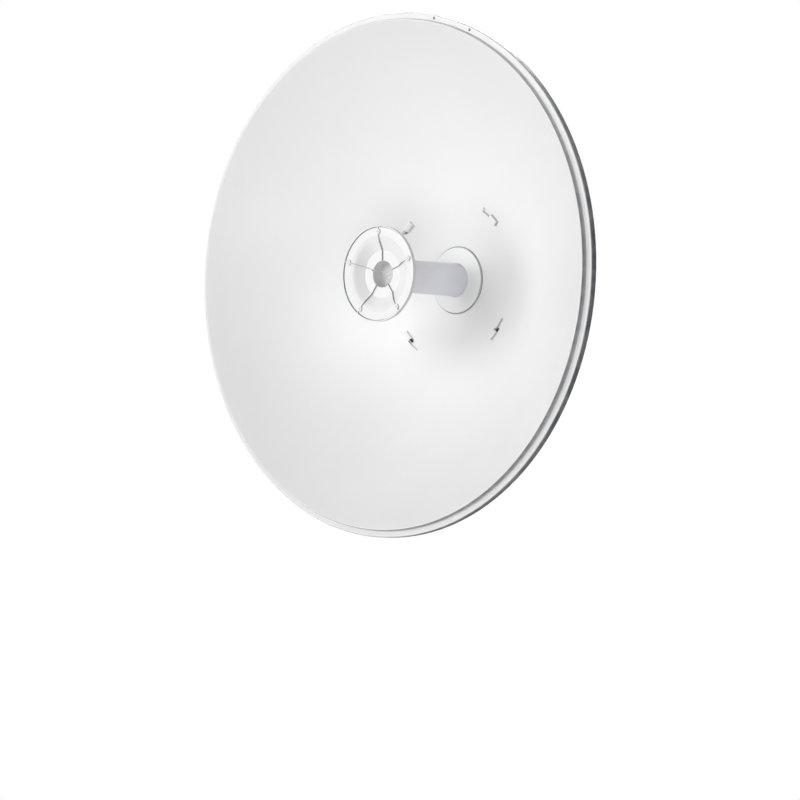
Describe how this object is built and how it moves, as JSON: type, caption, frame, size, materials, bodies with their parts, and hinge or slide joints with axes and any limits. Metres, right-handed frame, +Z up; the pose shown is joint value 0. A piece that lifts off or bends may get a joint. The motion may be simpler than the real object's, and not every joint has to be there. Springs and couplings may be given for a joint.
{
  "type": "dish antenna",
  "caption": "Round white parabolic dish antenna with a centre feed and a steel pole bracket behind, for a fixed point-to-point radio link.",
  "frame": {"origin": "centre of the pole bracket's flat rear face, where the pole bears on it, on the dish's own axis", "axes": "+Z up; the dish looks along -Y; +Y points from the bracket's rear face to the pole; +X to the right as seen from in front"},
  "size_m": [0.65, 0.3494, 0.65],
  "materials": {
    "white_paint": "satin white powder coat",
    "white_plastic": "white moulded plastic",
    "grey_plastic": "light violet-grey moulded plastic",
    "galvanised_steel": "dull galvanised sheet steel",
    "bolt_steel": "plated steel",
    "plated_brass": "nickel-plated brass"
  },
  "bodies": {
    "root": {"reflector": "white_paint", "hub_disc": "white_paint", "feed_tube": "grey_plastic", "feed_cap": "white_plastic", "feed_cone": "white_plastic", "feed_lock_ring": "grey_plastic", "feed_housing": "grey_plastic", "rf_jack_left": "plated_brass", "rf_jack_right": "plated_brass", "support_ring": "galvanised_steel", "back_plate": "white_paint", "cheek_left": "galvanised_steel", "cheek_right": "galvanised_steel", "foot_bolt_left_upper": "bolt_steel", "foot_bolt_right_upper": "bolt_steel", "foot_bolt_left_lower": "bolt_steel", "foot_bolt_right_lower": "bolt_steel", "pivot_bolt_left": "bolt_steel", "pivot_bolt_right": "bolt_steel", "lock_bolt_left": "bolt_steel", "lock_bolt_right": "bolt_steel", "pole_bracket": "galvanised_steel", "pole_clamp_upper": "galvanised_steel", "pole_clamp_lower": "galvanised_steel", "clamp_bolt_left_upper": "bolt_steel", "clamp_bolt_right_upper": "bolt_steel", "clamp_bolt_left_lower": "bolt_steel", "clamp_bolt_right_lower": "bolt_steel"}
  },
  "joints": []
}
